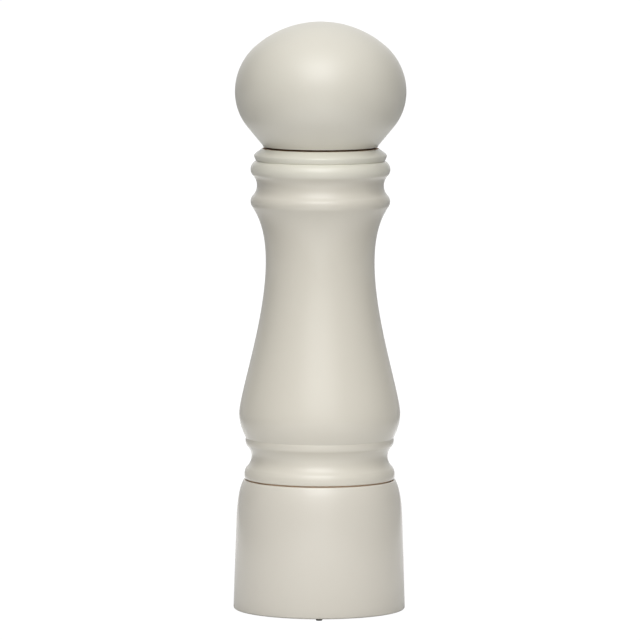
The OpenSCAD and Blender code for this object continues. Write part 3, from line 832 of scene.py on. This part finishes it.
@dataclass
class HeadGroup:
    """The ball head with its tenon, and the socket that takes the shaft."""

    maker: Maker
    # The head takes the body's cream lacquer a little paler: partly the head's own tone, partly painted
    # light.
    lacquer: Lacquer = Lacquer("head_lacquer_painted_lighter", (0.723, 0.697, 0.612), (0.708, 0.678, 0.589), coat_rough=0.30)
    ball_r: float = 29.35 * MM
    dome_h: float = 24.0 * MM
    dome_shoulder_r: float = 20.85 * MM
    under_h: float = 18.75 * MM
    under_r: float = 19.0 * MM
    under_turn: float = math.radians(39.6)
    tenon_r: float = 12.2 * MM
    tenon_chamfer: float = 0.5 * MM
    socket_r: float = 6.55 * MM
    land_h: float = 0.3 * MM
    ease: float = 0.1 * MM
    fittings: tuple[Fitting, ...] = (
        Fitting("drive_socket", Slot.NYLON, ease=0.2 * MM),
        Fitting("socket_screws", Slot.STEEL, ease=0.06 * MM),
        Fitting("grip_ring", Slot.STEEL, ease=0.15 * MM),
    )

    def outline(self) -> Outline:
        """Draws the ball, the socket's bore and the tenon.

        The ball is a cone and an arc below the equator, then a shoulder and a crown whose arcs meet smoothly.

        Returns:
            The closed outline.
        """
        low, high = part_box("head")
        socket_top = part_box("drive_socket")[1].z
        equator_z = high.z - self.dome_h
        seat_z = equator_z - self.under_h
        under_drop = self.under_r * math.sin(self.under_turn)
        under_edge_r = self.ball_r - self.under_r * (1 - math.cos(self.under_turn))
        slope = math.tan(self.under_turn)
        seat_r = under_edge_r - (self.under_h - under_drop) * slope
        land_r = seat_r + self.land_h * slope
        offset = self.ball_r - self.dome_shoulder_r
        rise = self.dome_h - self.dome_shoulder_r
        crown_r = (offset**2 + self.dome_h**2 - self.dome_shoulder_r**2) / (2 * rise)
        crown_z = high.z - crown_r
        crown_turn = math.atan2(equator_z - crown_z, offset)
        shape = Outline(land_r, seat_z)
        shape.lines((land_r, seat_z + self.land_h), (under_edge_r, equator_z - under_drop))
        shape.arc(Vector((self.ball_r - self.under_r, equator_z)), self.under_turn)
        shape.arc(Vector((offset, equator_z)), crown_turn)
        shape.arc(Vector((0.0, crown_z)), math.pi / 2 - crown_turn)
        shape.surface = Surface.BARE
        shape.move(0.0, socket_top)
        shape.lines(
            (self.socket_r, socket_top),
            (self.socket_r, low.z),
            (self.tenon_r - self.tenon_chamfer, low.z),
            (self.tenon_r, low.z + self.tenon_chamfer),
            (self.tenon_r, seat_z),
        )
        shape.close()
        return shape

    def build(self) -> None:
        """Turns the head and dresses the socket, its screws and the grip ring."""
        self.maker.turn(Mover.HEAD, self.outline(), self.lacquer, self.ease)
        self.maker.fit(Mover.HEAD, self.fittings)


@dataclass
class BodyGroup:
    """The beaded body with its spigot, and what is fixed in it."""

    maker: Maker
    lacquer: Lacquer = Lacquer(
        "body_lacquer", (0.692, 0.659, 0.577), (0.677, 0.640, 0.553),
        # painted light: the body's collar is lightened up this step
        collar=Step(148.5 * MM, 152.5 * MM, 0.0, 0.85),
    )

    # Foot bead, lower cove and ankle bead
    foot_bead_r: float = 25.75 * MM
    foot_bead_h: float = 3.75 * MM
    foot_edge_in: float = 0.07 * MM
    foot_sag: float = 0.42 * MM
    low_cove_r: float = 23.42 * MM
    low_cove_h: float = 7.75 * MM
    ankle_r: float = 25.5 * MM
    ankle_h: float = 2.5 * MM
    ankle_in: float = 0.35 * MM
    ankle_top_in: float = 0.1 * MM
    ankle_sag: float = 0.24 * MM

    # Vase, and the handles of its curves as shares of each curve's height
    belly_r: float = 27.7 * MM
    belly_rise: float = 8.2 * MM
    belly_lip: float = 1.1 * MM
    neck_r: float = 18.68 * MM
    belly_to_neck: float = 52.2 * MM
    neck_to_bead: float = 19.0 * MM
    belly_leave: float = 0.3
    belly_arrive: float = 0.36
    flank_leave: float = 0.134
    flank_arrive: float = 0.38
    neck_leave: float = 0.51
    neck_arrive_in: float = 0.137
    neck_arrive: float = 0.21

    # Neck bead, upper cove and shoulder
    bead_sag: float = 0.6 * MM
    neck_bead_r: float = 23.9 * MM
    neck_bead_h: float = 3.75 * MM
    top_cove_r: float = 21.75 * MM
    top_cove_h: float = 7.25 * MM
    shoulder_edge_r: float = 23.3 * MM
    shoulder_h: float = 4.85 * MM
    shoulder_sag: float = 1.2 * MM

    # Quirk under the collar, and the collar, whose edge is rounded by a share of its corner
    quirk_r: float = 22.05 * MM
    collar_flare: float = 0.7 * MM
    collar_sag: float = 0.12 * MM
    collar_side_h: float = 1.85 * MM
    collar_h: float = 4.35 * MM
    collar_top_r: float = 19.95 * MM
    collar_drop: float = 0.08 * MM
    collar_slope_h: float = 1.95 * MM
    collar_round: float = 0.75

    # Inside and spigot
    washer_play: float = 0.05 * MM
    hopper_r: float = 12.5 * MM
    hopper_chamfer: float = 0.5 * MM
    guide_bed_r: float = 13.15 * MM
    guide_bed_h: float = 8.05 * MM
    spigot_r: float = 20.4 * MM
    spigot_chamfer: float = 0.5 * MM
    ease: float = 0.12 * MM
    fittings: tuple[Fitting, ...] = (
        # the upper washer takes the fibre darkened as painted shade under the head
        Fitting("head_slip_washer", Slot.FIBRE, ease=0.08 * MM, finish=ShadedFibre()),
        Fitting("feed_guide", Slot.NYLON, ease=0.2 * MM),
        Fitting("shaft_bush", Slot.BRONZE, ease=0.12 * MM),
        Fitting("grinder_housing", Slot.NYLON, ease=0.2 * MM),
        Fitting("housing_screws", Slot.STEEL, ease=0.06 * MM),
    )

    def _foot(self) -> Outline:
        """Draws the foot bead, the lower cove and the ankle bead.

        Returns:
            The outline so far.
        """
        foot_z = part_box("body")[1].z - (
            self.foot_bead_h + self.low_cove_h + self.ankle_h + self.belly_rise + self.belly_to_neck
            + self.neck_to_bead + self.neck_bead_h + self.top_cove_h + self.shoulder_h + self.collar_h
        )
        bead_r = self.foot_bead_r - self.bead_sag
        ankle_r = self.ankle_r - self.ankle_in
        cove_sag = self.low_cove_r - (bead_r + ankle_r) / 2
        shape = Outline(self.foot_bead_r - self.foot_edge_in, foot_z)
        shape.bow(bead_r, shape.pen.y + self.foot_bead_h, self.foot_sag)
        shape.bow(ankle_r, shape.pen.y + self.low_cove_h, cove_sag, steps=24)
        shape.bow(self.ankle_r - self.ankle_top_in, shape.pen.y + self.ankle_h, self.ankle_sag)
        return shape

    def _vase(self, shape: Outline) -> None:
        """Draws the belly, the long flank and the neck.

        Args:
            shape: Outline with its pen on the ankle bead.
        """
        notch_z = shape.pen.y
        belly_z = notch_z + self.belly_rise
        neck_z = belly_z + self.belly_to_neck
        bead_z = neck_z + self.neck_to_bead
        bead_r = self.neck_bead_r - self.bead_sag
        shape.curve(
            Vector((self.belly_r - self.belly_lip, notch_z + self.belly_rise * self.belly_leave)),
            Vector((self.belly_r, belly_z - self.belly_rise * self.belly_arrive)),
            Vector((self.belly_r, belly_z)),
            steps=24,
        )
        shape.curve(
            Vector((self.belly_r, belly_z + self.belly_to_neck * self.flank_leave)),
            Vector((self.neck_r, neck_z - self.belly_to_neck * self.flank_arrive)),
            Vector((self.neck_r, neck_z)),
            steps=60,
        )
        shape.curve(
            Vector((self.neck_r, neck_z + self.neck_to_bead * self.neck_leave)),
            Vector((bead_r - self.neck_to_bead * self.neck_arrive_in,
                    bead_z - self.neck_to_bead * self.neck_arrive)),
            Vector((bead_r, bead_z)),
        )

    def _collar(self, shape: Outline) -> None:
        """Draws the neck bead, the upper cove, the shoulder, the quirk and the collar.

        Args:
            shape: Outline with its pen under the neck bead.
        """
        bead_r = self.neck_bead_r - self.bead_sag
        cove_sag = self.top_cove_r - (bead_r + self.shoulder_edge_r) / 2
        shape.bow(bead_r, shape.pen.y + self.neck_bead_h, self.bead_sag)
        shape.bow(self.shoulder_edge_r, shape.pen.y + self.top_cove_h, cove_sag, steps=24)
        shape.bow(self.quirk_r, shape.pen.y + self.shoulder_h, self.shoulder_sag)
        collar_r = self.quirk_r + self.collar_flare
        top_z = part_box("body")[1].z - self.collar_drop
        shape.bow(collar_r, shape.pen.y + self.collar_side_h, self.collar_sag)
        corner = Vector((collar_r, top_z - self.collar_slope_h))
        end = Vector((self.collar_top_r, top_z))
        leave = shape.pen.lerp(corner, self.collar_round)
        arrive = end.lerp(corner, self.collar_round)
        shape.curve(leave, arrive, end, steps=24)

    def outline(self) -> Outline:
        """Draws the lacquered side from the foot up, then the washer's bed, the hopper and the spigot.

        Returns:
            The closed outline.
        """
        shape = self._foot()
        self._vase(shape)
        self._collar(shape)
        low_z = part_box("body")[0].z
        guide_top = low_z + self.guide_bed_h
        washer_low, washer_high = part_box("head_slip_washer")
        washer_r = washer_high.x + self.washer_play
        shape.surface = Surface.BARE
        shape.lines(
            (washer_r, shape.pen.y),
            (washer_r, washer_low.z),
            (self.hopper_r + self.hopper_chamfer, washer_low.z),
            (self.hopper_r, washer_low.z - self.hopper_chamfer),
            (self.hopper_r, guide_top),
            (self.guide_bed_r, guide_top),
            (self.guide_bed_r, low_z),
            (self.spigot_r - self.spigot_chamfer, low_z),
            (self.spigot_r, low_z + self.spigot_chamfer),
            (self.spigot_r, shape.start.y),
        )
        shape.close()
        return shape

    def build(self) -> None:
        """Turns the body and dresses what is fixed in it."""
        self.maker.turn(Mover.BODY, self.outline(), self.lacquer, self.ease)
        self.maker.fit(Mover.BODY, self.fittings)


@dataclass
class BaseGroup:
    """The flared base that sets the grind, with its cam ring and feet.

    The base tapers up to its shoulder, a curve whose first handle leaves it by shares of the taper's
    width and of the height above it.
    """

    maker: Maker
    # The base takes the body's cream lacquer a little darker: partly the base's own tone, partly painted
    # shade.
    lacquer: Lacquer = Lacquer("base_lacquer_painted_darker", (0.675, 0.641, 0.569), (0.660, 0.624, 0.547))
    rim_r: float = 29.5 * MM
    rim_edge: float = 0.6 * MM
    taper_h: float = 30.0 * MM
    taper_r: float = 28.62 * MM
    shoulder_in: float = 0.27
    shoulder_up: float = 0.54
    top_r: float = 26.0 * MM
    top_rise: float = 0.12 * MM
    lip_in: float = 1.55 * MM
    lip_h: float = 2.8 * MM
    washer_play: float = 0.05 * MM
    ledge_r: float = 20.7 * MM
    ledge_t: float = 5.5 * MM
    cavity_r: float = 22.7 * MM
    recess_r: float = 26.25 * MM
    recess_d: float = 6.8 * MM
    ease: float = 0.35 * MM
    fittings: tuple[Fitting, ...] = (
        Fitting("base_slip_washer", Slot.FIBRE, ease=0.08 * MM),
        Fitting("cam_ring", Slot.NYLON, ease=0.12 * MM),
        Fitting("cam_screws", Slot.STEEL, ease=0.06 * MM),
        Fitting("rubber_feet", Slot.RUBBER, ease=0.12 * MM),
    )

    def outline(self) -> Outline:
        """Draws the rim, the taper, the shoulder, the washer's bed and the cavity.

        Returns:
            The closed outline.
        """
        low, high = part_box("base")
        washer_low, washer_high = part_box("base_slip_washer")
        washer_r = washer_high.x + self.washer_play
        top_z = high.z + self.top_rise
        ledge_z = high.z - self.ledge_t
        recess_z = low.z + self.recess_d
        rim_edge_r = self.rim_r - self.rim_edge
        shoulder_h = high.z - low.z - self.taper_h
        shoulder_r = self.taper_r - (self.rim_r - self.taper_r) * self.shoulder_in
        shape = Outline(rim_edge_r, low.z)
        shape.arc(Vector((rim_edge_r, low.z + self.rim_edge)), math.pi / 2, steps=8)
        shape.lines((self.taper_r, low.z + self.taper_h))
        shape.curve(
            Vector((shoulder_r, low.z + self.taper_h + shoulder_h * self.shoulder_up)),
            Vector((self.top_r + self.lip_in, top_z - self.lip_h)),
            Vector((self.top_r, top_z)),
        )
        shape.lines((washer_r, top_z))
        shape.surface = Surface.BARE
        shape.lines(
            (washer_r, washer_low.z),
            (self.ledge_r, washer_low.z),
            (self.ledge_r, ledge_z),
            (self.cavity_r, ledge_z),
            (self.cavity_r, recess_z),
            (self.recess_r, recess_z),
            (self.recess_r, low.z),
        )
        shape.surface = Surface.LACQUER
        shape.close()
        return shape

    def build(self) -> None:
        """Turns the base and dresses its washer, cam ring, screws and feet."""
        self.maker.turn(Mover.BASE, self.outline(), self.lacquer, self.ease)
        self.maker.fit(Mover.BASE, self.fittings)


@dataclass
class GrinderGroup:
    """The shaft and rotor that the head turns, and the sprung stator that the base lifts."""

    maker: Maker
    wire_r: float = 0.55 * MM
    wire_sides: int = 20
    coil_r: float = 13.425 * MM
    coils: float = 4.5
    end_coils: float = 1.0
    close_gap: float = 0.6 * MM
    coil_steps: int = 72
    travel: float = 1.81 * MM
    drive: tuple[Fitting, ...] = (
        Fitting("drive_shaft", Slot.STEEL, ease=0.12 * MM),
        Fitting("thrust_washers", Slot.STEEL, ease=0.08 * MM),
        Fitting("shaft_clips", Slot.STEEL, ease=0.08 * MM),
        Fitting("rotor", Slot.CERAMIC, ease=0.06 * MM),
        Fitting("rotor_washer", Slot.STEEL, ease=0.08 * MM),
        Fitting("rotor_screw", Slot.STEEL, ease=0.1 * MM),
    )
    carriage: tuple[Fitting, ...] = (
        Fitting("stator", Slot.CERAMIC, ease=0.06 * MM),
        Fitting("stator_carrier", Slot.NYLON, ease=0.15 * MM),
        Fitting("stator_clip", Slot.STEEL, ease=0.08 * MM),
    )

    def coil(self, low_z: float, high_z: float) -> bpy.types.Object:
        """Winds the spring, close at both ends and open between.

        Args:
            low_z: Height of its lower end.
            high_z: Height of its upper end.

        Returns:
            The new object.
        """
        end_pitch = 2 * self.wire_r + self.close_gap
        open_coils = self.coils - 2 * self.end_coils
        open_pitch = (high_z - low_z - 2 * self.wire_r - 2 * self.end_coils * end_pitch) / open_coils
        mesh = bmesh.new()
        lift = Matrix.Translation((self.coil_r, 0.0, low_z + self.wire_r))
        ring = bmesh.ops.create_circle(
            mesh, cap_ends=True, segments=self.wire_sides, radius=self.wire_r,
            matrix=lift @ Matrix.Rotation(math.pi / 2, 4, "X"),
        )["verts"]
        geom = [*ring, *mesh.edges, *mesh.faces]
        for coils, pitch in (
            (self.end_coils, end_pitch), (open_coils, open_pitch), (self.end_coils, end_pitch),
        ):
            geom = bmesh.ops.spin(
                mesh, geom=geom, axis=(0, 0, 1), cent=(0, 0, 0), angle=2 * math.pi * coils,
                dvec=(0, 0, pitch / self.coil_steps), steps=round(coils * self.coil_steps),
            )["geom_last"]
        return self.maker.finished("wound_spring", mesh, [self.maker.materials[Slot.STEEL]])

    def build(self) -> None:
        """Dresses the drive and the stator's carriage, and winds the spring and seats it on the body."""
        self.maker.fit(Mover.DRIVE, self.drive)
        self.maker.fit(Mover.CARRIAGE, self.carriage)
        low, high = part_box("carrier_spring")
        coil = self.coil(low.z, high.z)
        self.maker.seat(coil, "carrier_spring", Mover.BODY, Slot.STEEL)
        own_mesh(coil)


@dataclass
class Studio:
    """White floor, a soft surround and the camera at the photograph's angle.

    The floor's steps follow distances from the mill. The surround's follow the X, Y and Z of a direction
    of length 1, and the key's follow how far a direction lies from it, in shares of its spread.
    """

    # Camera
    distance: float = 2.2
    height: float = 0.305
    tilt: float = math.radians(5.32)
    roll: float = math.radians(0.17)
    lens_mm: float = 362.2
    sensor_mm: float = 36.0

    # Floor: its paleness, with painted shade round the mill and a painted shadow under the rim; its glow;
    # both dimmed aside and behind; and the plain white that the camera sees
    floor_size: float = 12.0
    floor_rough: float = 0.8
    floor_painted_shadow: Step = Step(28 * MM, 42 * MM, 0.62, 1.0)
    floor_pale_with_painted_shade: Step = Step(40 * MM, 300 * MM, 0.78, 0.95)
    floor_glow: Step = Step(50 * MM, 250 * MM, 0.0, 0.355)
    floor_aside: Step = Step(70 * MM, 320 * MM, 1.0, 0.05)
    floor_behind: Step = Step(100 * MM, 400 * MM, 0.0, 0.32)
    white_light: float = 1.06
    white_share: float = 0.95

    # Surround: the wall behind, a band overhead from front to back, the ceiling, and the key with its core
    back: Step = Step(0.45, 0.95, 0.015, 0.58)
    back_fade: Step = Step(0.10, 0.60, 1.0, 0.3)
    band_rise: Step = Step(-0.15, 0.15, 0.0, 0.70)
    band_back: Step = Step(-0.30, 0.30, 1.0, 0.5)
    band_width: Step = Step(0.15, 0.65, 1.0, 0.0)
    top_rise: Step = Step(0.15, 1.0, 0.0, 0.46)
    top_width: Step = Step(0.70, 1.30, 1.0, 0.0)
    key_towards: Triple = (-0.03, -0.69, 0.72)
    key_spread: Triple = (0.80, 0.85, 0.85)
    key: Step = Step(0.0, 1.0, 1.94, 0.0)
    key_core: Step = Step(0.28, 0.50, 1.65, 0.0)

    def camera(self) -> None:
        """Puts up the camera at the photograph's angle."""
        scene = bpy.context.scene
        data = bpy.data.cameras.new("camera")
        data.lens = self.lens_mm
        data.sensor_width = self.sensor_mm
        camera = bpy.data.objects.new("camera", data)
        camera.location = (0.0, -self.distance, self.height)
        turn = Matrix.Rotation(math.pi / 2 - self.tilt, 3, "X") @ Matrix.Rotation(self.roll, 3, "Z")
        camera.rotation_euler = turn.to_euler()
        scene.collection.objects.link(camera)
        scene.camera = camera
        scene.view_settings.view_transform = "Standard"

    def floor(self) -> None:
        """Lays the floor: pale, darkened round the mill as painted shade and under the rim as a painted
        shadow, and white to the camera but for a faint touch of shade.
        """
        graph = Graph("white_floor")
        axes = graph.axes(graph.place)
        away = graph.length(graph.place)
        aside = graph.ramp(graph.math("ABSOLUTE", axes["X"], 0.0), self.floor_aside)
        dim = graph.math("MAXIMUM", aside, graph.ramp(axes["Y"], self.floor_behind))
        # painted shadow under the rim and painted shade round the mill, darkening the floor's colour
        pale = graph.math("MULTIPLY", graph.ramp(away, self.floor_painted_shadow), graph.ramp(away, self.floor_pale_with_painted_shade))
        graph.finish(
            base_color=graph.math("MULTIPLY", pale, dim),
            roughness=self.floor_rough,
            emission_color=WHITE,
            emission_strength=graph.math("MULTIPLY", graph.ramp(away, self.floor_glow), dim),
        )
        white = graph.add("ShaderNodeEmission", {"Color": WHITE, "Strength": self.white_light}).outputs[0]
        shown = graph.show(graph.shader.outputs[0], white, self.white_share)
        graph.put(graph.tree.nodes["Material Output"], "Surface", shown)
        mesh = bmesh.new()
        bmesh.ops.create_grid(mesh, x_segments=1, y_segments=1, size=self.floor_size / 2)
        placed("floor", mesh, [graph.material])

    def light(self) -> None:
        """Lights the mill from a wall behind, a band and a ceiling above, and a soft key in front."""
        world = bpy.data.worlds.new("studio")
        world.use_nodes = True
        bpy.context.scene.world = world
        tree = Tree(world.node_tree)
        towards = tree.add("ShaderNodeTexCoord", {}).outputs["Generated"]
        axes = tree.axes(towards)
        across = tree.math("ABSOLUTE", axes["X"], 0.0)
        back = tree.math("MULTIPLY", tree.ramp(axes["Y"], self.back), tree.ramp(axes["Z"], self.back_fade))
        fore = tree.ramp(axes["Y"], self.band_back)
        front = tree.math("MULTIPLY", tree.ramp(axes["Z"], self.band_rise), fore)
        band = tree.math("MULTIPLY", tree.ramp(across, self.band_width), front)
        top = tree.math("MULTIPLY", tree.ramp(across, self.top_width), tree.ramp(axes["Z"], self.top_rise))
        aside = tree.vector("SUBTRACT", towards, self.key_towards).outputs["Vector"]
        off = tree.length(tree.vector("DIVIDE", aside, self.key_spread).outputs["Vector"])
        key = tree.math("ADD", tree.ramp(off, self.key), tree.ramp(off, self.key_core))
        overhead = tree.math("ADD", band, top)
        surround = tree.math("ADD", tree.math("ADD", back, overhead), key)
        shown = tree.show(tree.glow(surround), tree.glow(1.0), 1.0)
        tree.put(world.node_tree.nodes["World Output"], "Surface", shown)

    def build(self) -> None:
        """Sets up the whole studio."""
        self.camera()
        self.floor()
        self.light()
        LOG.info("studio is up")


def main() -> None:
    """Builds the studio and dresses the mill, group by group."""
    logging.basicConfig(level=logging.INFO, format="%(name)s: %(message)s")
    Studio().build()
    maker = Maker()
    for group in (HeadGroup(maker), BodyGroup(maker), BaseGroup(maker), GrinderGroup(maker)):
        group.build()


if __name__ == "__main__":
    main()
